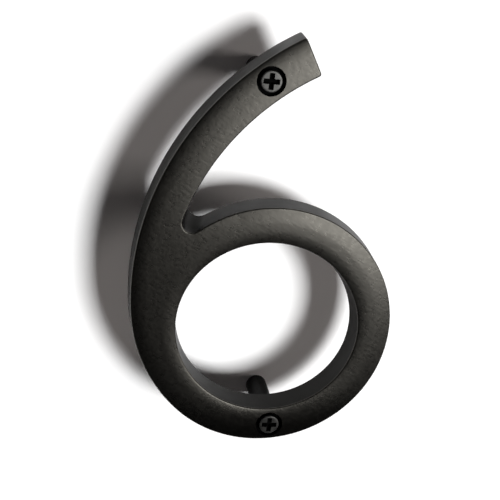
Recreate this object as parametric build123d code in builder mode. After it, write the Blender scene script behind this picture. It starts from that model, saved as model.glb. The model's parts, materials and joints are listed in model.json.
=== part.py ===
from build123d import *
import os
from math import asin, atan2, cos, degrees, hypot, radians, sin, sqrt

# Floating house number: a cast six that two screws and two spacers hold clear of a wall.
# Millimetres. X runs to the right, Z up, and the face looks along -Y. The wall is the plane Y = 0,
# and the origin lies on it, half way between the two screws.

# Bowl and stem, seen from the front: a ring that is round outside, with a hole that is a little wider
# along a leaning line, and a stem that bends into it and widens a little towards its tip
bowl_radius = 39.2
hole_length = 58.0
hole_width = 55.6
hole_lean = -30.0
stem_radius = 88.0
stem_inner_radius = 75.75
stem_stroke = 10.95
stem_bulge = 2.9
stem_rise = 8.0
tip_reach = 14.0
tip_corner = 0.8
notch_radius = 2.4
notch_foot = 3.8

# Section of the casting: drafted walls under a crowned face, hollow behind
edge_thickness = 8.6
wall_draft = 0.55
side_wall = 2.0
face_wall = 2.8
boss_wall = 0.8
edge_break = 0.4
crown_height = 0.36
crown_steps = 3
ridge_width = 1.2

# Screws: pan heads that sink into round recesses, on one upright line beside the bowl's centre
screw_line = 0.5
thread_diameter = 3.5
thread_height = 0.3
hole_clearance = 0.5
head_diameter = 6.3
head_height = 2.4
head_rounding = 0.4
head_dome = 0.05
recess_clearance = 1.15
recess_depth = 2.2
grip_in_wall = 22.0
point_length = 5.0
cross_span = 4.6
cross_width = 1.3
cross_depth = 1.5
cross_taper = 12.0
cross_turn = -6.0

# Spacers
spacer_length = 19.0
spacer_wall = 1.5
spacer_chamfer = 0.3

# Places that follow from those sizes, in the plane of the wall
bowl_stroke = bowl_radius - (hole_length + hole_width) / 4
bowl_middle = bowl_radius - bowl_stroke / 2
bowl_x = -screw_line
stem_left = bowl_x - bowl_radius - stem_bulge
stem_x = stem_left + stem_radius
stem_inner_x = stem_left + stem_stroke + stem_inner_radius
stem_middle = (stem_radius + stem_inner_radius) / 2
stem_middle_x = (stem_x + stem_inner_x) / 2
upper_rise = stem_rise + sqrt(stem_middle**2 - stem_middle_x**2)
lower_drop = sqrt(bowl_middle**2 - bowl_x**2)
screw_spacing = upper_rise + lower_drop
upper_z = screw_spacing / 2
lower_z = -screw_spacing / 2
bowl_z = lower_z + lower_drop
stem_z = bowl_z + stem_rise
hole_place = Location((bowl_x, bowl_z), hole_lean)
shank_diameter = thread_diameter - 2 * thread_height
bore_diameter = thread_diameter + hole_clearance
recess_diameter = head_diameter + 2 * recess_clearance
spacer_diameter = bore_diameter + 2 * spacer_wall
front = spacer_length + edge_thickness + crown_height
head_seat = front - recess_depth

# Shoulder: the arc that leaves the stem at its leftmost point and runs into the ring
shoulder_radius = bowl_radius + stem_bulge / 2 + stem_rise**2 / (2 * stem_bulge)
shoulder_x = stem_left + shoulder_radius
shoulder_end = 360 + degrees(atan2(bowl_z - stem_z, bowl_x - shoulder_x))

# Direction from the bowl's centre to the centre of the stem's inner curve
centres = hypot(stem_inner_x - bowl_x, stem_rise)
towards_stem = Vector(stem_inner_x - bowl_x, stem_rise) / centres

# Tip: a straight cut square to the stem, a little past the upper screw
tip_angle = degrees(atan2(upper_z - stem_z, -stem_middle_x) - tip_reach / stem_middle)
tip_x = stem_middle_x + stem_middle * cos(radians(tip_angle))
tip_z = stem_z + stem_middle * sin(radians(tip_angle))

# Narrowest stroke of the stem, at its root or its tip. The crown has to fit it and the ring
tip_stroke = stem_radius - stem_inner_radius - (stem_inner_x - stem_x) * cos(radians(tip_angle))
narrow_stem = min(stem_stroke, tip_stroke)
half_stroke = min(bowl_stroke, narrow_stem) / 2

# Section: distance in from the edge, height over the back and radius of the notch at each step, up
# the wall, where the notch tapers from its foot, and across the crown
crown_run = half_stroke - ridge_width / 2 - edge_break
section = [(-wall_draft, 0.0, notch_foot), (0.0, edge_thickness - edge_break, notch_radius)]
for step in range(crown_steps + 1):
    inset = edge_break + crown_run * step / crown_steps
    rise = crown_height * (1 - (1 - inset / half_stroke) ** 2)
    section.append((inset, edge_thickness + rise, notch_radius + inset))


def tip_start(centre_x, radius, inset):
    """Angle at which an edge round this centre meets the end cut, moved in by inset."""
    past_cut = inset + (centre_x - stem_middle_x) * sin(radians(tip_angle))
    return tip_angle + degrees(asin(past_cut / radius))


def notch_place(inset, radius):
    """Centre of the arc of this radius between the ring and the stem's inner edge, moved in by inset."""
    from_bowl = bowl_radius - inset + radius
    from_stem = stem_inner_radius + inset - radius
    along = (from_bowl**2 - from_stem**2 + centres**2) / (2 * centres)
    across = sqrt(from_bowl**2 - along**2)
    return Vector(bowl_x, bowl_z) + towards_stem * along + towards_stem.rotate(Axis.Z, 90) * across


def outline(inset, height, radius):
    """The six's outer outline, moved in by inset, at this height over its back, with this notch."""
    outer = stem_radius - inset
    inner = stem_inner_radius + inset
    notch = notch_place(inset, radius)
    notch_on_bowl = degrees(atan2(notch.Y - bowl_z, notch.X - bowl_x))
    notch_on_stem = degrees(atan2(notch.Y - stem_z, notch.X - stem_inner_x))
    with BuildSketch(Plane.XZ.offset(spacer_length + height)) as shape:
        with BuildLine():
            start = tip_start(stem_x, outer, inset)
            stem_edge = CenterArc((stem_x, stem_z), outer, start, 180 - start)
            CenterArc((shoulder_x, stem_z), shoulder_radius - inset, 180, shoulder_end - 180)
            ring_sweep = 360 + notch_on_bowl - shoulder_end
            CenterArc((bowl_x, bowl_z), bowl_radius - inset, shoulder_end, ring_sweep)
            notch_sweep = notch_on_stem - notch_on_bowl - 180
            CenterArc(notch, radius, notch_on_bowl + 180, notch_sweep)
            end = tip_start(stem_inner_x, inner, inset)
            gap_edge = CenterArc((stem_inner_x, stem_z), inner, notch_on_stem, end - notch_on_stem)
            Line(gap_edge @ 1, stem_edge @ 0)
        make_face()
        corners = vertices().sort_by_distance((tip_x, tip_z))[:2]
        fillet(corners, min(tip_corner, (narrow_stem / 2 - inset) / 2))
    return shape


# Numeral: stacked outlines lofted into walls and crown, then the bowl's hole, the cored back that
# leaves an even wall and a boss round each screw, and the screw holes
with BuildPart() as numeral:
    for inset, height, radius in section:
        add(outline(inset, height, radius).sketch)
    loft(ruled=True)
    with BuildPart(mode=Mode.SUBTRACT):
        for inset, height, radius in section:
            with BuildSketch(Plane.XZ.offset(spacer_length + height)):
                with Locations(hole_place):
                    Ellipse(hole_length / 2 + inset, hole_width / 2 + inset)
        loft(ruled=True)
    with BuildSketch(Plane.XZ.offset(spacer_length)):
        add(outline(side_wall, 0, notch_radius + side_wall).sketch_local)
        with Locations(hole_place):
            Ellipse(hole_length / 2 + side_wall, hole_width / 2 + side_wall, mode=Mode.SUBTRACT)
        with Locations((0, upper_z), (0, lower_z)):
            Circle(recess_diameter / 2 + boss_wall, mode=Mode.SUBTRACT)
    extrude(amount=edge_thickness - face_wall, mode=Mode.SUBTRACT)
    with Locations(Plane.XZ.offset(front)):
        with Locations((0, upper_z), (0, lower_z)):
            CounterBoreHole(bore_diameter / 2, recess_diameter / 2, recess_depth)
numeral.part.label = "numeral"

# Screws: head, plain shank as far as the wall and the thread's outer size behind it, then the cross
with BuildPart() as mounting_screws:
    for z in (upper_z, lower_z):
        with BuildSketch(Plane.XY.offset(z)):
            with BuildLine():
                crest = (0, -head_seat - head_height)
                rim = (head_diameter / 2 - head_rounding, -head_seat - head_height + head_dome)
                side = (head_diameter / 2, -head_seat - head_height + head_dome + head_rounding)
                Line(crest, rim)
                RadiusArc(rim, side, head_rounding)
                Polyline(
                    side,
                    (head_diameter / 2, -head_seat),
                    (shank_diameter / 2, -head_seat),
                    (shank_diameter / 2, 0),
                    (thread_diameter / 2, 0),
                    (thread_diameter / 2, grip_in_wall - point_length),
                    (0, grip_in_wall),
                    crest,
                )
            make_face()
        revolve(axis=Axis((0, 0, z), (0, 1, 0)))
        with BuildSketch(Plane.XZ.offset(head_seat + head_height)):
            with Locations(Location((0, z), cross_turn)):
                Rectangle(cross_span, cross_width)
                Rectangle(cross_width, cross_span)
        extrude(amount=-cross_depth, taper=cross_taper, mode=Mode.SUBTRACT)
mounting_screws.part.label = "mounting_screws"


def spacer(z):
    """One spacer tube between the wall and the back of the numeral, round the screw at height z."""
    with BuildPart() as tube:
        with BuildSketch(Plane.XZ):
            with Locations((0, z)):
                Circle(spacer_diameter / 2)
                Circle(bore_diameter / 2, mode=Mode.SUBTRACT)
        extrude(amount=spacer_length)
        rims = tube.edges().filter_by(GeomType.CIRCLE).group_by(lambda e: e.radius)[-1]
        chamfer(rims, spacer_chamfer)
    return tube.part


upper_spacer = spacer(upper_z)
upper_spacer.label = "upper_spacer"
lower_spacer = spacer(lower_z)
lower_spacer.label = "lower_spacer"

os.makedirs("parts", exist_ok=True)
export_step(numeral.part, "parts/numeral.step")
export_step(mounting_screws.part, "parts/mounting_screws.step")
export_step(upper_spacer, "parts/upper_spacer.step")
export_step(lower_spacer, "parts/lower_spacer.step")
print("screw spacing", round(screw_spacing, 3), "shoulder radius", round(shoulder_radius, 3))
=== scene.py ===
# %% [markdown]
# # A floating house number in Blender
# The object is a cast six that two screws and two spacers hold clear of a wall. The solids come from
# CAD and are loaded as a fixed frame, in metres: X to the right, Z up, and the wall is the plane Y = 0,
# so the face of the six looks along -Y. Everything made below has to fit that frame.

# %% Load the frame
import json
from math import asin, atan2, cos, hypot, pi, radians, sin, sqrt

import bmesh
import bpy
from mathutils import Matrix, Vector


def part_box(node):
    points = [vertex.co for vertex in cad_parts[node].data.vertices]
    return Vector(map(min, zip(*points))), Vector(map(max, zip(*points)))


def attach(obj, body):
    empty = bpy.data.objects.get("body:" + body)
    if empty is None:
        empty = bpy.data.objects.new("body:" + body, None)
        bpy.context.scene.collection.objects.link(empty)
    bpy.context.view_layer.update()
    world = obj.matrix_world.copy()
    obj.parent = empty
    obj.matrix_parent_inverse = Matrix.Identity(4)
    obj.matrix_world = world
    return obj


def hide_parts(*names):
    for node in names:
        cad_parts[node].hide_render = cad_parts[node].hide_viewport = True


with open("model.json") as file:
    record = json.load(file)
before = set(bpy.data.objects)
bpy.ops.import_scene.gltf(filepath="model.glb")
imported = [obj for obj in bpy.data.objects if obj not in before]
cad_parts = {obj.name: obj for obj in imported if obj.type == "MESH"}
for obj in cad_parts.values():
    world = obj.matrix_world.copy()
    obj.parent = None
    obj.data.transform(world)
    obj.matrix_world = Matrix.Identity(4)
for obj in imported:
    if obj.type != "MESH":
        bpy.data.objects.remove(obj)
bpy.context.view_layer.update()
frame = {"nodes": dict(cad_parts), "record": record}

print("nodes:", sorted(frame["nodes"]))

# %% [markdown]
# ## Sizes
# A finer mesh will stand for the casting, so its few driving sizes are written here in metres, and the
# places that the frame knows are read from it: the length of the spacers, the screws' spacing and the
# edge of the bowl. The printed line shows whether both agree on the bowl's centre. The notch between
# stem and bowl is rounded a little more here than in the solid.

# %% Driving sizes of the casting
mm = 0.001
bowl_radius = 39.2 * mm
hole_length, hole_width, hole_lean = 58.0 * mm, 55.6 * mm, radians(-30)
stem_radius, stem_inner_radius, stem_stroke = 88.0 * mm, 75.75 * mm, 10.95 * mm
stem_bulge, stem_rise = 2.9 * mm, 8.0 * mm
tip_reach, tip_corner = 14.0 * mm, 0.8 * mm
notch_radius, notch_foot = 3.0 * mm, 3.8 * mm
edge_thickness, wall_draft = 8.6 * mm, 0.55 * mm
edge_rounding, crown_height = 0.4 * mm, 0.36 * mm
side_wall, face_wall, boss_wall = 2.0 * mm, 2.8 * mm, 0.8 * mm
screw_line = 0.5 * mm
recess_radius, recess_depth, bore_radius = 4.3 * mm, 2.2 * mm, 2.0 * mm

wall_screws = next(m for m in frame["record"]["mounts"] if m["name"] == "wall_screws")
screw_z = wall_screws["dims"]["spacing_y_mm"] * mm / 2
spacer_low, spacer_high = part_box("upper_spacer")
spacer_length = -spacer_low.y
numeral_low, numeral_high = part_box("numeral")

bowl_stroke = bowl_radius - (hole_length + hole_width) / 4
bowl_middle = bowl_radius - bowl_stroke / 2
bowl = Vector((-screw_line, sqrt(bowl_middle**2 - screw_line**2) - screw_z))
stem_left = bowl.x - bowl_radius - stem_bulge
stem = Vector((stem_left + stem_radius, bowl.y + stem_rise))
stem_inner = Vector((stem_left + stem_stroke + stem_inner_radius, stem.y))
frame_bowl_x = numeral_high.x - bowl_radius - wall_draft
frame_bowl_z = numeral_low.z + bowl_radius + wall_draft
print("bowl centre in mm:", [round(1000 * v, 3) for v in bowl],
      "by the frame:", [round(1000 * v, 3) for v in (frame_bowl_x, frame_bowl_z)])

# %% [markdown]
# ## Camera
# The camera stands close, above and to the left of the six, and looks a little down and to the right.
# Its place was found by matching the outlines of face and back. A focal length in pixels turns into
# Blender's lens in millimetres through the width of the picture and of the sensor.

# %% Make the camera
picture_width = 500
focal_pixels = 911.5
camera_place = Vector((-44.1, -282.46, 97.06)) * mm
pan, tilt = radians(8.469), radians(-19.686)

camera_data = bpy.data.cameras.new("photo_camera")
camera_data.sensor_width = 36.0
camera_data.lens = focal_pixels * camera_data.sensor_width / picture_width
camera_data.clip_start = 0.01
camera = bpy.data.objects.new("photo_camera", camera_data)
camera.location = camera_place
camera.rotation_euler = (pi / 2 + tilt, 0, -pan)
bpy.context.scene.collection.objects.link(camera)
bpy.context.scene.camera = camera
print("lens in mm:", round(camera_data.lens, 2))

# %% [markdown]
# ## Helpers
# A few small helpers serve every piece. Some turn points and faces into objects, and modifiers into plain
# meshes, because a finished piece has to be a mesh at the origin, with no live modifiers. The others make
# node trees, fill them with nodes and put them on an object.

# %% Objects from points, and plain meshes from modifiers
sharp_edge = radians(40)
same_place = 1e-7


def object_from(name, points, faces, materials=()):
    """A new object in the scene, with its place in its mesh."""
    mesh = bpy.data.meshes.new(name)
    mesh.from_pydata(points, [], faces)
    for material in materials:
        mesh.materials.append(material)
    made = bpy.data.objects.new(name, mesh)
    bpy.context.scene.collection.objects.link(made)
    return made


def point_outwards(obj):
    """Merge double points and turn every face of a closed mesh outwards."""
    form = bmesh.new()
    form.from_mesh(obj.data)
    bmesh.ops.remove_doubles(form, verts=form.verts, dist=same_place)
    bmesh.ops.recalc_face_normals(form, faces=form.faces)
    form.to_mesh(obj.data)
    form.free()


def apply_modifiers(obj):
    """Replace the mesh by the result of the modifiers, smooth except at sharp edges."""
    graph = bpy.context.evaluated_depsgraph_get()
    result = bpy.data.meshes.new_from_object(obj.evaluated_get(graph), depsgraph=graph)
    obj.modifiers.clear()
    obj.data = result
    for slot in reversed(range(len(result.materials))):
        if result.materials[slot] is None:
            result.materials.pop(index=slot)
    result.shade_smooth()
    result.set_sharp_from_angle(angle=sharp_edge)
    print(obj.name, "faces:", len(result.polygons), "materials:", [m.name for m in result.materials])


def remove_object(obj):
    """Delete a helper object that only shaped another one."""
    mesh = obj.data
    bpy.data.objects.remove(obj)
    bpy.data.meshes.remove(mesh)


# %% Node trees with named inputs


def new_geometry_tree(name, inputs):
    """A Geometry Nodes tree with a geometry in and out, and these inputs: name to (socket type, value)."""
    tree = bpy.data.node_groups.new(name, "GeometryNodeTree")
    tree.interface.new_socket("Geometry", in_out="INPUT", socket_type="NodeSocketGeometry")
    tree.interface.new_socket("Geometry", in_out="OUTPUT", socket_type="NodeSocketGeometry")
    for title, (kind, value) in inputs.items():
        socket = tree.interface.new_socket(title, in_out="INPUT", socket_type=kind)
        if value is not None:
            socket.default_value = value
    return tree, tree.nodes.new("NodeGroupInput"), tree.nodes.new("NodeGroupOutput")


def add_node(tree, kind, values=None, **settings):
    """A node with its settings, and with values or links by the position of its input."""
    node = tree.nodes.new(kind)
    for setting, value in settings.items():
        setattr(node, setting, value)
    for place, value in (values or {}).items():
        if isinstance(value, bpy.types.NodeSocket):
            tree.links.new(value, node.inputs[place])
        else:
            node.inputs[place].default_value = value
    return node


def calculate(tree, operation, *values, clamp=False):
    """The result of one Math node."""
    kind = "ShaderNodeMath"
    return add_node(tree, kind, dict(enumerate(values)), operation=operation, use_clamp=clamp).outputs[0]


def add_geometry_modifier(obj, tree, values):
    """Put the tree on the object, and set its inputs by the identifiers of their sockets."""
    modifier = obj.modifiers.new(tree.name, "NODES")
    modifier.node_group = tree
    for item in tree.interface.items_tree:
        if item.item_type == "SOCKET" and item.in_out == "INPUT" and item.name in values:
            modifier[item.identifier] = values[item.name]


# %% [markdown]
# ## Finishes
# The casting is satin black. Its face was brushed along one slanting direction before it was coated, and
# the coat left it slightly mottled. The material turns Object coordinates until one axis runs along the
# brushing, and stretches a noise along that axis. Brushing and mottling both end in small bumps, which
# break up the sheen, and the face is smoother at its foot. The walls were left as cast, with a fine grain.
# The recesses for the screws get a dull black that reflects nothing, which paints shade into them.

# %% Satin black: a brushed face, cast walls and dull recesses
noise_low, noise_high = 0.3, 0.7
brush_slant, brush_stretch, brush_share = radians(-35), 0.22, 0.8
foot_low, foot_high, foot_smoothness = -56 * mm, -44 * mm, 0.72


def new_material(name):
    """A material with a Principled shader, and the place on the object."""
    material = bpy.data.materials.new(name)
    material.use_nodes = True
    tree = material.node_tree
    place = add_node(tree, "ShaderNodeTexCoord").outputs["Object"]
    return material, tree, tree.nodes["Principled BSDF"], place


def noise(tree, place, scale, detail):
    """Noise of about this many bumps a metre."""
    return add_node(tree, "ShaderNodeTexNoise", {0: place, 2: scale, 3: detail}).outputs[0]


def tint(tree, shader, value, dark, light):
    """Let the colour wander between two tones."""
    ramp = add_node(tree, "ShaderNodeValToRGB", {0: value})
    ramp.color_ramp.elements[0].color = (*dark, 1)
    ramp.color_ramp.elements[1].color = (*light, 1)
    tree.links.new(ramp.outputs[0], shader.inputs["Base Color"])


def spread(tree, value, first, last, low, high):
    """Turn a value between first and last into one between low and high."""
    return add_node(tree, "ShaderNodeMapRange", {0: value, 1: first, 2: last, 3: low, 4: high}).outputs[0]


def gloss(tree, shader, value, low, high, share=1.0):
    """Let the roughness wander between two values, times a share."""
    rough = spread(tree, value, noise_low, noise_high, low, high)
    tree.links.new(calculate(tree, "MULTIPLY", rough, share), shader.inputs["Roughness"])


def bumps(tree, shader, value, strength, height):
    """Raise the surface a little where the value is high."""
    raised = add_node(tree, "ShaderNodeBump", {0: strength, 1: height, 3: value})
    tree.links.new(raised.outputs[0], shader.inputs["Normal"])


def brushed_black():
    material, tree, shader, place = new_material("brushed_black")
    turned_place = add_node(tree, "ShaderNodeMapping", {0: place, 2: (0, brush_slant, 0)}).outputs[0]
    stretched = add_node(tree, "ShaderNodeMapping", {0: turned_place, 3: (brush_stretch, 1, 1)}).outputs[0]
    lines = noise(tree, stretched, 1700.0, 1.0)
    mottle = noise(tree, place, 850.0, 1.5)
    both = calculate(tree, "MULTIPLY_ADD", lines, brush_share, mottle)
    tint(tree, shader, mottle, (0.0004, 0.0004, 0.0004), (0.0012, 0.0011, 0.0010))
    up = add_node(tree, "ShaderNodeSeparateXYZ", {0: place}).outputs[2]
    smoother = spread(tree, up, foot_low, foot_high, foot_smoothness, 1.0)
    gloss(tree, shader, mottle, 0.27, 0.32, smoother)
    bumps(tree, shader, both, 0.6, 0.00003)
    shader.inputs["Specular IOR Level"].default_value = 0.5
    shader.inputs["Specular Tint"].default_value = (1.0, 0.955, 0.85, 1)
    return material


def cast_black():
    material, tree, shader, place = new_material("cast_black")
    clouds = noise(tree, place, 140.0, 4.0)
    tint(tree, shader, clouds, (0.0010, 0.0010, 0.0010), (0.0030, 0.0029, 0.0027))
    gloss(tree, shader, clouds, 0.33, 0.42)
    bumps(tree, shader, noise(tree, place, 2400.0, 3.0), 0.25, 0.00002)
    shader.inputs["Specular IOR Level"].default_value = 0.08
    shader.inputs["Specular Tint"].default_value = (1.0, 0.955, 0.88, 1)
    return material


# Painted shade: a rough black with no reflection at all, put on the recesses so that they render dark as if
# shaded.
def recess_painted_shade():
    material, tree, shader, place = new_material("recess_painted_shade")
    clouds = noise(tree, place, 900.0, 3.0)
    tint(tree, shader, clouds, (0.0010, 0.0010, 0.0010), (0.0030, 0.0030, 0.0030))
    gloss(tree, shader, clouds, 0.6, 0.75)
    shader.inputs["Specular IOR Level"].default_value = 0.0
    return material


face_finish, wall_finish, recess_shade_finish = brushed_black(), cast_black(), recess_painted_shade()
print("finishes:", face_finish.name, wall_finish.name, recess_shade_finish.name)

# %% [markdown]
# ## Outline of the six
# From the front the six is a ring and a band that bends into it and widens a little towards its tip. Every
# stretch of the outline is an arc that touches the next one, apart from the straight cut at the tip. An
# outline moved inwards is the same arcs with other radii, so one function gives every step of the section.

# %% Outline, moved in by any distance
stem_points, shoulder_points, bowl_points, notch_points = 128, 48, 224, 24
gap_points, corner_points, cut_points, hole_points = 64, 6, 12, 256

shoulder_radius = bowl_radius + stem_bulge / 2 + stem_rise**2 / (2 * stem_bulge)
shoulder = Vector((stem_left + shoulder_radius, stem.y))
shoulder_end = 2 * pi + atan2(bowl.y - shoulder.y, bowl.x - shoulder.x)

stem_middle = (stem + stem_inner) / 2
tip_angle = atan2(screw_z - stem.y, -stem_middle.x) - tip_reach / ((stem_radius + stem_inner_radius) / 2)


def arc(centre, radius, start, end, steps):
    """Points from start up to, and without, the end angle."""
    turns = [start + (end - start) * i / steps for i in range(steps)]
    return [(centre.x + radius * cos(turn), centre.y + radius * sin(turn)) for turn in turns]


def notch_place(inset, radius):
    """Centre of the arc of this radius that rounds the gap between ring and stem."""
    way = (stem_inner - bowl).normalized()
    from_bowl, from_stem = bowl_radius - inset + radius, stem_inner_radius + inset - radius
    reach = (stem_inner - bowl).length
    along = (from_bowl**2 - from_stem**2 + reach**2) / (2 * reach)
    return bowl + way * along + way.orthogonal() * sqrt(from_bowl**2 - along**2)


def tip_corner_place(centre, radius, inset):
    """Centre of a rounded corner of the tip, on this arc, and the angle at which the arc meets it."""
    past_cut = inset + (centre.x - stem_middle.x) * sin(tip_angle)
    turn = tip_angle + asin(past_cut / radius)
    return centre + radius * Vector((cos(turn), sin(turn))), turn


def outline(inset):
    """The outer outline as a ring of points (x, z), always as many, from the tip round the bowl and back."""
    outer, inner = stem_radius - inset, stem_inner_radius + inset
    if inset < 0:
        notch_arc = notch_radius - (notch_foot - notch_radius) * inset / wall_draft
    else:
        notch_arc = notch_radius + inset
    notch = notch_place(inset, notch_arc)
    notch_on_bowl = atan2(notch.y - bowl.y, notch.x - bowl.x)
    notch_on_stem = atan2(notch.y - stem_inner.y, notch.x - stem_inner.x)
    corner = min(tip_corner, (stem_stroke / 2 - inset) / 2)
    outer_corner, outer_turn = tip_corner_place(stem, outer - corner, inset + corner)
    inner_corner, inner_turn = tip_corner_place(stem_inner, inner + corner, inset + corner)
    cut_start = Vector(arc(inner_corner, corner, tip_angle + 1.5 * pi, 0, 1)[0])
    cut_end = Vector(arc(outer_corner, corner, tip_angle - pi / 2, 0, 1)[0])
    cut = [tuple(cut_start.lerp(cut_end, i / cut_points)) for i in range(cut_points)]
    return (
        arc(stem, outer, outer_turn, pi, stem_points)
        + arc(shoulder, shoulder_radius - inset, pi, shoulder_end, shoulder_points)
        + arc(bowl, bowl_radius - inset, shoulder_end, 2 * pi + notch_on_bowl, bowl_points)
        + arc(notch, notch_arc, notch_on_bowl + pi, notch_on_stem, notch_points)
        + arc(stem_inner, inner, notch_on_stem, inner_turn, gap_points)
        + arc(inner_corner, corner, inner_turn + pi, tip_angle + 1.5 * pi, corner_points)
        + cut
        + arc(outer_corner, corner, tip_angle - pi / 2, outer_turn, corner_points)
    )


def hole_ring(inset):
    """The edge of the hole as a ring of points (x, z), moved into the ring by an inset."""
    ring = arc(Vector((0, 0)), 1.0, 0, 2 * pi, hole_points)
    long_way, short_way = hole_length / 2 + inset, hole_width / 2 + inset
    return [(bowl.x + long_way * x * cos(hole_lean) - short_way * y * sin(hole_lean),
             bowl.y + long_way * x * sin(hole_lean) + short_way * y * cos(hole_lean)) for x, y in ring]


edge = outline(0.0)
print("points round the outline:", len(edge), "height of the face in mm:",
      round(1000 * (max(p[1] for p in edge) - min(p[1] for p in edge)), 2))

# %% [markdown]
# ## Flat stack
# The casting starts as a flat drawing: outlines inside each other, and rings round the hole in the same
# steps. The drafted wall flares out towards the wall, so it is drawn with insets below zero. A second
# mesh operation fills the middle of the stroke and the back, which closes the form.
#
# Each point keeps two distances in attributes: inset, from the nearest edge, and across, from the nearer
# side of the stroke. They differ at the tip only, where the crown runs straight out through the end cut.
# Polishing left the face fuller on some sides than on others, so four more attributes describe the crown
# at that side: where its edge starts, how far it rises, how full it is, and how far in it levels out. All
# of them meet at one height along the ridge in the middle of the stroke.

# %% Crown at each side of the stroke
ridge_half = 0.1 * mm
ridge_inset = (bowl_radius - hole_length / 2) / 2 - ridge_half


def crown_side(start, fullness, width):
    """Start, rise, fullness and width of the crown at one side, with the rise that brings it to the ridge."""
    left = (1 - min(ridge_inset / width, 1)) ** 2
    reached = 1 - left - fullness * (left**2 - left)
    return Vector((start, (crown_height - start) / reached, fullness, width))


ring_side = crown_side(0.06 * mm, -0.5, 6.0 * mm)
foot_side = crown_side(-0.07 * mm, 0.0, 6.0 * mm)
hole_side = crown_side(0.03 * mm, 0.1, 4.4 * mm)
hole_foot_side = crown_side(0.14 * mm, 0.1, 4.4 * mm)
stem_side = crown_side(-0.03 * mm, 0.3, 5.2 * mm)
notch_side = crown_side(0.33 * mm, 0.0, 5.2 * mm)
gap_side = crown_side(0.23 * mm, -0.5, 5.0 * mm)


def blend(start, end, steps):
    """Steps from one side of the crown to the next along the outline."""
    return [start.lerp(end, i / steps) for i in range(steps)]


foot_points, rise_points, bend_points = 60, 48, 16
ring_points = bowl_points - foot_points - rise_points - bend_points
outline_sides = [stem_side] * stem_points + blend(stem_side, foot_side, shoulder_points)
outline_sides += [foot_side] * foot_points + blend(foot_side, ring_side, rise_points)
outline_sides += [ring_side] * ring_points + blend(ring_side, notch_side, bend_points)
outline_sides += [notch_side] * notch_points + blend(notch_side, gap_side, bend_points)
outline_sides += [gap_side] * (gap_points - bend_points)

foot_point, foot_reach = 227, 28
foot_shares = [max(0, 1 - abs(i - foot_point) / foot_reach) for i in range(hole_points)]
hole_sides = [hole_side.lerp(hole_foot_side, share) for share in foot_shares]
print("points before the tip:", len(outline_sides), "rises in mm:",
      [round(1000 * side.y, 2) for side in (ring_side, hole_side, stem_side, gap_side)])


def outline_crown(i, place, inset):
    """How far in from the nearer side a point of an outline lies, and the crown at that side."""
    if i < len(outline_sides):
        return inset, outline_sides[i]
    from_stem = stem_radius - (place - stem).length
    from_gap = (place - stem_inner).length - stem_inner_radius
    return (from_stem, stem_side) if from_stem < from_gap else (from_gap, gap_side)


def hole_crown(i, place, inset):
    """The same for a point of a ring round the hole."""
    return inset, hole_sides[i]


# %% Draw the flat stack
wall_steps, edge_steps, crown_steps = 4, 6, 14
insets = [-wall_draft * (1 - i / wall_steps) for i in range(wall_steps + 1)]
insets += [edge_rounding * (1 - cos(pi / 2 * i / edge_steps)) for i in range(1, edge_steps + 1)]
crown_run = ridge_inset - edge_rounding
insets += [edge_rounding + crown_run * i / crown_steps for i in range(1, crown_steps + 1)]


def flat_stack():
    """Rings of points for each inset, joined by faces, with the ridge and the back filled in."""
    form = bmesh.new()
    names = ("inset", "across", "crown_start", "crown_rise", "crown_fullness", "crown_width")
    layers = [form.verts.layers.float.new(name) for name in names]
    sides = []
    for ring, crown in ((outline, outline_crown), (hole_ring, hole_crown)):
        rows = []
        for inset in insets:
            row = []
            for i, (x, z) in enumerate(ring(inset)):
                across, side = crown(i, Vector((x, z)), inset)
                vertex = form.verts.new((x, 0, z))
                for layer, value in zip(layers, (inset, across, *side)):
                    vertex[layer] = value
                row.append(vertex)
            rows.append(row)
        for below, above in zip(rows, rows[1:]):
            for i in range(len(below)):
                form.faces.new((below[i - 1], below[i], above[i], above[i - 1]))
        sides.append(rows)
    for level in (-1, 0):
        rim = []
        for rows in sides:
            row = rows[level]
            rim += [form.edges.get((row[i - 1], row[i])) for i in range(len(row))]
        bmesh.ops.triangle_fill(form, use_beauty=True, edges=rim)
    mesh = bpy.data.meshes.new("numeral_casting")
    form.to_mesh(mesh)
    form.free()
    made = bpy.data.objects.new("numeral_casting", mesh)
    bpy.context.scene.collection.objects.link(made)
    return made


numeral = flat_stack()
print("flat stack:", len(insets), "steps,", len(numeral.data.vertices), "points")

# %% [markdown]
# ## Section by Geometry Nodes
# The height of a point over the back follows from its attributes, so a rule can raise the whole drawing:
# a straight climb up the drafted wall, a quarter circle over the edge, and a shallow curve across the
# crowned face. A Geometry Nodes tree holds that rule, and its inputs are the sizes of the section. The
# face gets the brushed finish wherever the inset is above zero.

# %% Raise the section
size = "NodeSocketFloat"
section_tree, given, result = new_geometry_tree("raise_section", {
    "Back Offset": (size, 0.0), "Wall Height": (size, 0.0), "Wall Draft": (size, 0.0),
    "Edge Rounding": (size, 0.0),
    "Face Finish": ("NodeSocketMaterial", None), "Wall Finish": ("NodeSocketMaterial", None)})


def section(operation, *values, clamp=False):
    return calculate(section_tree, operation, *values, clamp=clamp)


def attribute(name):
    return add_node(section_tree, "GeometryNodeInputNamedAttribute", {0: name}, data_type="FLOAT").outputs[0]


def square_left(value, length):
    """Square of the share of this length that is still to go, from 1 at the edge to 0."""
    return section("POWER", section("SUBTRACT", 1.0, section("DIVIDE", value, length, clamp=True)), 2.0)


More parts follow.
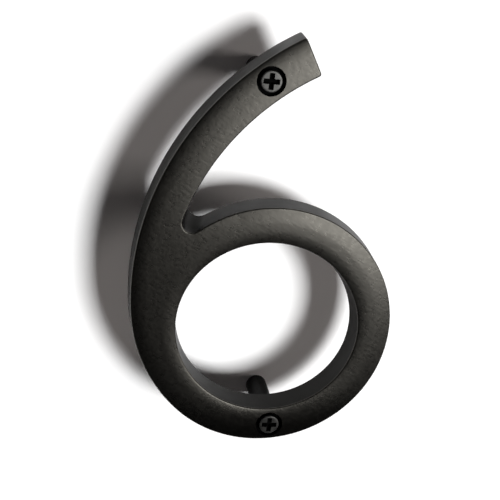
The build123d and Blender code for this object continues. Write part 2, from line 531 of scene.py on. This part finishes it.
draft, rounding = given.outputs["Wall Draft"], given.outputs["Edge Rounding"]
climb = section("DIVIDE", section("ADD", attribute("inset"), draft), draft, clamp=True)
edge_left = square_left(attribute("inset"), rounding)
edge_rise = section("MULTIPLY", section("SQRT", section("SUBTRACT", 1.0, edge_left)), rounding)
crown_left = square_left(attribute("across"), attribute("crown_width"))
fuller = section("SUBTRACT", section("POWER", crown_left, 2.0), crown_left)
crown_left = section("MULTIPLY_ADD", fuller, attribute("crown_fullness"), crown_left)
crown_share = section("SUBTRACT", 1.0, crown_left)
crown = section("MULTIPLY_ADD", crown_share, attribute("crown_rise"), attribute("crown_start"))
side_height = section("ADD", given.outputs["Wall Height"], crown)
rise = section("MULTIPLY_ADD", climb, side_height, edge_rise)
forward = section("ADD", rise, given.outputs["Back Offset"])
shift = add_node(section_tree, "ShaderNodeCombineXYZ", {1: section("MULTIPLY", forward, -1.0)})
raised = add_node(section_tree, "GeometryNodeSetPosition",
                  {0: given.outputs["Geometry"], 3: shift.outputs[0]})
real = add_node(section_tree, "GeometryNodeRealizeInstances", {0: raised.outputs[0]})
walls = add_node(section_tree, "GeometryNodeSetMaterial",
                 {0: real.outputs[0], 2: given.outputs["Wall Finish"]})
on_face = section("GREATER_THAN", attribute("inset"), 0.0)
faces = add_node(section_tree, "GeometryNodeSetMaterial",
                 {0: walls.outputs[0], 1: on_face, 2: given.outputs["Face Finish"]})
section_tree.links.new(faces.outputs[0], result.inputs[0])

add_geometry_modifier(numeral, section_tree, {
    "Back Offset": spacer_length, "Wall Height": edge_thickness - edge_rounding, "Wall Draft": wall_draft,
    "Edge Rounding": edge_rounding,
    "Face Finish": face_finish, "Wall Finish": wall_finish})
apply_modifiers(numeral)
point_outwards(numeral)
print("face stands off the wall in mm:", round(-1000 * min(v.co.y for v in numeral.data.vertices), 2))

# %% [markdown]
# ## Holes and hollow back
# Each screw goes through a bore and seats in a round recess in the face. The back is hollow, as die
# castings are: it leaves an even side wall and a solid boss round each screw. The cuts are prisms that a
# Boolean takes away. The hollow is drawn as the outline moved in by the side wall, and smaller Booleans
# first take the hole's wall and the bosses out of it.

# %% Cut the casting
front = spacer_length + edge_thickness + crown_height
past = 2 * mm
boss_points, recess_points, bore_points = 96, 128, 64


def closed_form(name, first, second, finish):
    """A closed form between two rings of as many points, with flat ends."""
    count = len(first)
    sides = [((i + 1) % count, i, i + count, (i + 1) % count + count) for i in range(count)]
    ends = [range(count), range(count, 2 * count)]
    made = object_from(name, first + second, sides + ends, [finish])
    point_outwards(made)
    return made


def prism(name, ring, back, ahead, finish):
    """A closed prism from a ring of points (x, z), between two distances from the wall."""
    return closed_form(name, [(x, -back, z) for x, z in ring], [(x, -ahead, z) for x, z in ring], finish)


def cut_away(obj, tool):
    """Take one closed mesh out of another, whose cut faces get its finish."""
    modifier = obj.modifiers.new("cut", "BOOLEAN")
    modifier.operation = "DIFFERENCE"
    modifier.solver = "EXACT"
    modifier.material_mode = "TRANSFER"
    modifier.object = tool
    apply_modifiers(obj)
    remove_object(tool)


screw_places = [Vector((0, screw_z)), Vector((0, -screw_z))]
hollow_floor = spacer_length + edge_thickness - face_wall
hollow = prism("hollow", outline(side_wall), spacer_length - past, hollow_floor, wall_finish)
cut_away(hollow, prism("hole_wall", hole_ring(side_wall), spacer_length - 2 * past, front, wall_finish))
for place in screw_places:
    boss = arc(place, recess_radius + boss_wall, 0, 2 * pi, boss_points)
    cut_away(hollow, prism("boss", boss, spacer_length - 2 * past, front, wall_finish))
cut_away(numeral, hollow)
# The walls of each recess and bore take the unreflecting black: painted shade.
for place in screw_places:
    recess = arc(place, recess_radius, 0, 2 * pi, recess_points)
    cut_away(numeral, prism("recess", recess, front - recess_depth, front + past, recess_shade_finish))
    bore = arc(place, bore_radius, 0, 2 * pi, bore_points)
    cut_away(numeral, prism("bore", bore, spacer_length - past, front, recess_shade_finish))

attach(numeral, "root")
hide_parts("numeral")

# %% [markdown]
# ## Spacers
# Both spacers are plain moulded tubes. A turned piece is a profile that goes once round an axis, so one
# function makes tubes and screws alike: it takes points of radius and distance from the wall.

# %% Turned pieces, and the two tubes
turned_steps, rounding_steps = 96, 6


def turned(name, profile, place, finish):
    """A closed form from a ring of points (radius, y), turned round the Y axis through a place (x, z)."""
    points, faces = [], []
    count = len(profile)
    for i in range(turned_steps):
        turn = 2 * pi * i / turned_steps
        points += [(place.x + r * cos(turn), y, place.y + r * sin(turn)) for r, y in profile]
    for i in range(turned_steps):
        here, there = i * count, (i + 1) % turned_steps * count
        for j in range(count):
            after = (j + 1) % count
            faces.append((here + j, here + after, there + after, there + j))
    made = object_from(name, points, faces, [finish])
    point_outwards(made)
    return made


def spacer_black():
    material, tree, shader, place = new_material("spacer_black")
    clouds = noise(tree, place, 300.0, 3.0)
    tint(tree, shader, clouds, (0.0010, 0.0010, 0.0010), (0.0030, 0.0029, 0.0028))
    gloss(tree, shader, clouds, 0.42, 0.55)
    bumps(tree, shader, noise(tree, place, 3000.0, 2.0), 0.2, 0.00002)
    shader.inputs["Specular IOR Level"].default_value = 0.08
    return material


spacer_finish = spacer_black()
spacer_radius = (spacer_high.x - spacer_low.x) / 2
spacer_rounding = 0.3 * mm


def tube_profile():
    """Section of the tube: the bore, and an outside with rounded ends."""
    bends = [pi / 2 * i / rounding_steps for i in range(rounding_steps + 1)]
    end_radius = spacer_radius - spacer_rounding
    near = [(end_radius + spacer_rounding * cos(bend), -spacer_rounding + spacer_rounding * sin(bend))
            for bend in bends]
    far = [(r, -spacer_length - y) for r, y in reversed(near)]
    return [(bore_radius, 0)] + near[::-1] + far[::-1] + [(bore_radius, -spacer_length)]


for name, place in zip(("upper_spacer", "lower_spacer"), screw_places):
    tube = turned(name + "_tube", tube_profile(), place, spacer_finish)
    apply_modifiers(tube)
    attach(tube, "root")
    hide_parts(name)

# %% [markdown]
# ## Screws
# The screws are pan heads with a cross recess, a plain shank through casting and spacer, and a wood
# screw thread behind the wall's face. One blank is turned and gets its cross. A Geometry Nodes tree then
# sweeps the thread along a spiral, tapers it to the point, and puts blank and thread at both places.

# %% Dark plated steel


def plated_steel():
    material, tree, shader, place = new_material("plated_steel")
    clouds = noise(tree, place, 700.0, 4.0)
    tint(tree, shader, clouds, (0.041, 0.041, 0.0397), (0.0666, 0.0653, 0.0622))
    gloss(tree, shader, clouds, 0.34, 0.42)
    bumps(tree, shader, noise(tree, place, 5000.0, 2.0), 0.15, 0.00001)
    shader.inputs["Metallic"].default_value = 1.0
    return material


screw_finish = plated_steel()

# %% Turn one blank and cut its cross
screws_low, screws_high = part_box("mounting_screws")
head_radius = (screws_high.x - screws_low.x) / 2
head_seat = front - recess_depth
head_top = -screws_low.y
head_rounding, head_dome = 0.3 * mm, 0.01 * mm
thread_radius = wall_screws["dims"]["stud_r_mm"] * mm
shank_radius, root_radius = 1.45 * mm, 1.2 * mm
grip, point_length = screws_high.y, 5.0 * mm
cross_span, cross_width, cross_depth = 4.8 * mm, 1.5 * mm, 1.5 * mm
cross_draft, cross_turn, mouth_rise = 0.32 * mm, radians(-6.0), 0.3 * mm
shank_end, root_start = -1.0 * mm, 0.5 * mm
origin = Vector((0, 0))

blank_profile = [(0, -head_top)]
flat_radius = head_radius - head_rounding
for i in range(1, rounding_steps + 1):
    share = i / rounding_steps
    blank_profile.append((flat_radius * share, -head_top + head_dome * share**2))
for i in range(1, rounding_steps + 1):
    turn = pi / 2 * i / rounding_steps
    blank_profile.append((flat_radius + head_rounding * sin(turn),
                          -head_top + head_dome + head_rounding * (1 - cos(turn))))
blank_profile += [(head_radius, -head_seat), (shank_radius, -head_seat), (shank_radius, shank_end),
                  (root_radius, root_start), (root_radius, grip - point_length), (0, grip)]
blank = turned("screw_blank", blank_profile, origin, screw_finish)


def cross_ring(span, width):
    """Twelve corners of a cross, turned as the screws were left."""
    s, w = span / 2, width / 2
    quarter = [(s, w), (w, w), (w, s)]
    corners = []
    for i in range(4):
        turn = cross_turn + i * pi / 2
        corners += [(x * cos(turn) - y * sin(turn), x * sin(turn) + y * cos(turn)) for x, y in quarter]
    return corners


wide = cross_ring(cross_span, cross_width)
narrow = cross_ring(cross_span - 2 * cross_draft, cross_width - 2 * cross_draft)
slope = mouth_rise / cross_depth
mouth = [(x + (x - nx) * slope, y + (y - ny) * slope) for (x, y), (nx, ny) in zip(wide, narrow)]
mouth_ring = [(x, -head_top - mouth_rise, y) for x, y in mouth]
floor_ring = [(x, -head_top + cross_depth, y) for x, y in narrow]
cut_away(blank, closed_form("cross", mouth_ring, floor_ring, screw_finish))

# %% Thread along a spiral, and both screws in their places
pitch, thread_stop = 1.6 * mm, 0.6 * mm
points_a_turn, ridge_corners = 28, 3
in_cross_from, in_cross_to = head_dome + 0.02 * mm, cross_depth + 0.1 * mm

screw_tree, given, result = new_geometry_tree("threaded_screws", {
    "Blank": ("NodeSocketObject", None), "Root Radius": (size, 0.0), "Crest Radius": (size, 0.0),
    "Pitch": (size, 0.0), "Thread Length": (size, 0.0), "Point Length": (size, 0.0),
    "Finish": ("NodeSocketMaterial", None)})
turns = calculate(screw_tree, "DIVIDE", given.outputs["Thread Length"], given.outputs["Pitch"])
spiral = add_node(screw_tree, "GeometryNodeCurveSpiral", {
    0: points_a_turn, 1: turns, 2: given.outputs["Root Radius"], 3: given.outputs["Root Radius"],
    4: given.outputs["Thread Length"]})
ridge_height = calculate(screw_tree, "SUBTRACT", given.outputs["Crest Radius"], given.outputs["Root Radius"])
ridge = add_node(screw_tree, "GeometryNodeCurvePrimitiveCircle", {0: ridge_corners, 4: ridge_height})
thread = add_node(screw_tree, "GeometryNodeCurveToMesh",
                  {0: spiral.outputs[0], 1: ridge.outputs[0], "Fill Caps": True})
position = add_node(screw_tree, "GeometryNodeInputPosition")
axes = add_node(screw_tree, "ShaderNodeSeparateXYZ", {0: position.outputs[0]})
left = calculate(screw_tree, "SUBTRACT", given.outputs["Thread Length"], axes.outputs[2])
taper = calculate(screw_tree, "DIVIDE", left, given.outputs["Point Length"], clamp=True)
tapered = add_node(screw_tree, "ShaderNodeCombineXYZ", {
    0: calculate(screw_tree, "MULTIPLY", axes.outputs[0], taper),
    1: calculate(screw_tree, "MULTIPLY", axes.outputs[1], taper), 2: axes.outputs[2]})
pointed = add_node(screw_tree, "GeometryNodeSetPosition", {0: thread.outputs[0], 2: tapered.outputs[0]})
laid = add_node(screw_tree, "GeometryNodeTransform", {0: pointed.outputs[0], "Rotation": (-pi / 2, 0, 0)})
body = add_node(screw_tree, "GeometryNodeObjectInfo", {0: given.outputs["Blank"]})
whole = add_node(screw_tree, "GeometryNodeJoinGeometry", {0: laid.outputs[0]})
screw_tree.links.new(body.outputs["Geometry"], whole.inputs[0])
seats = add_node(screw_tree, "GeometryNodeMeshToPoints", {0: given.outputs["Geometry"]})
placed = add_node(screw_tree, "GeometryNodeInstanceOnPoints",
                  {0: seats.outputs[0], "Instance": whole.outputs[0]})
real = add_node(screw_tree, "GeometryNodeRealizeInstances", {0: placed.outputs[0]})
coated = add_node(screw_tree, "GeometryNodeSetMaterial", {0: real.outputs[0], 2: given.outputs["Finish"]})
screw_tree.links.new(coated.outputs[0], result.inputs[0])

screws = object_from("threaded_screws", [(place.x, 0, place.y) for place in screw_places], [])
add_geometry_modifier(screws, screw_tree, {
    "Blank": blank, "Root Radius": root_radius, "Crest Radius": thread_radius, "Pitch": pitch,
    "Thread Length": grip - thread_stop, "Point Length": point_length, "Finish": screw_finish})
apply_modifiers(screws)
remove_object(blank)
# The faces inside each cross take the unreflecting black: painted shade in the recess.
screws.data.materials.append(recess_shade_finish)
in_cross = 0
for polygon in screws.data.polygons:
    x, y, z = polygon.center
    from_axis = min(hypot(x - place.x, z - place.y) for place in screw_places)
    if from_axis < flat_radius and in_cross_from < y + head_top < in_cross_to:
        polygon.material_index = 1
        in_cross += 1
print("faces in the cross recesses:", in_cross)
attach(screws, "root")
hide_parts("mounting_screws")

# %% [markdown]
# ## Wall and light
# The wall is part of the picture only: a white plane that takes the shadow. It turns transparent when it
# is seen from behind, so that the back of the six can be looked at.
#
# Shadow and sheen come from two lamps. The key lamp, from the right, lights the wall and makes the long
# shadow, and reflections don't show it. The sheen lamp is larger, and only reflections show it. A weak side
# lamp further round fills the shadow and draws the spacers' own shadows in it. The world is white to the
# camera and to mirrors, and dim otherwise. A black curtain behind the camera keeps that white out of the
# satin face, as in a studio.

# %% White wall and black curtain


def wall_white():
    material, tree, shader, _ = new_material("wall_white")
    shader.inputs["Base Color"].default_value = (0.95, 0.95, 0.95, 1)
    shader.inputs["Roughness"].default_value = 0.9
    shader.inputs["Specular IOR Level"].default_value = 0.0
    behind = add_node(tree, "ShaderNodeNewGeometry").outputs["Backfacing"]
    clear = add_node(tree, "ShaderNodeBsdfTransparent")
    mixed = add_node(tree, "ShaderNodeMixShader", {0: behind, 1: shader.outputs[0], 2: clear.outputs[0]})
    tree.links.new(mixed.outputs[0], tree.nodes["Material Output"].inputs["Surface"])
    return material


def curtain_black():
    material, _, shader, _ = new_material("curtain_black")
    shader.inputs["Base Color"].default_value = (0.01, 0.01, 0.01, 1)
    shader.inputs["Roughness"].default_value = 1.0
    return material


def upright_sheet(name, half, y, material):
    """A square that faces along -Y."""
    corners = [(-half, y, -half), (half, y, -half), (half, y, half), (-half, y, half)]
    made = object_from(name, corners, [(0, 1, 2, 3)], [material])
    return made


wall = upright_sheet("wall", half=1.0, y=0.0, material=wall_white())
curtain = upright_sheet("curtain", half=14.0, y=-5.0, material=curtain_black())
curtain.visible_camera = False
curtain.visible_diffuse = False
curtain.visible_shadow = False
print("wall faces:", [round(v, 1) for v in wall.data.polygons[0].normal])

# %% Lamps and world


def soft_lamp(name, direction, distance, width, watts, colour=(1, 1, 1)):
    """A square lamp that shines at the six from this direction."""
    data = bpy.data.lights.new(name, "AREA")
    data.size = width
    data.energy = watts
    data.color = colour
    lamp = bpy.data.objects.new(name, data)
    way = Vector(direction).normalized()
    lamp.location = way * distance
    lamp.rotation_euler = way.to_track_quat("Z", "Y").to_euler()
    lamp.visible_camera = False
    bpy.context.scene.collection.objects.link(lamp)
    return lamp


key_lamp = soft_lamp("key_lamp", (0.47, -1.0, -0.07), distance=1.5, width=0.37, watts=28.0)
key_lamp.visible_glossy = False
sheen_lamp = soft_lamp("sheen_lamp", (0.406, -1.0, -0.107), distance=1.5, width=0.58, watts=12.9)
sheen_lamp.visible_diffuse = False
side_lamp = soft_lamp("side_lamp", (1.7, -1.0, -0.13), distance=1.2, width=0.35, watts=2.7,
                      colour=(1.0, 0.92, 0.88))

world = bpy.data.worlds.new("studio")
world.use_nodes = True
bpy.context.scene.world = world
air = world.node_tree
ray = add_node(air, "ShaderNodeLightPath")
mirrored = calculate(air, "ADD", ray.outputs["Is Glossy Ray"], ray.outputs["Is Transmission Ray"])
seen = calculate(air, "ADD", ray.outputs["Is Camera Ray"], mirrored, clamp=True)
shade = add_node(air, "ShaderNodeValToRGB", {0: seen})
shade.color_ramp.elements[0].color = (0.050, 0.046, 0.045, 1)
shade.color_ramp.elements[1].color = (1, 1, 1, 1)
air.links.new(shade.outputs[0], air.nodes["Background"].inputs["Color"])
bpy.context.scene.view_settings.view_transform = "Standard"
print("lamps:", key_lamp.name, sheen_lamp.name, side_lamp.name)
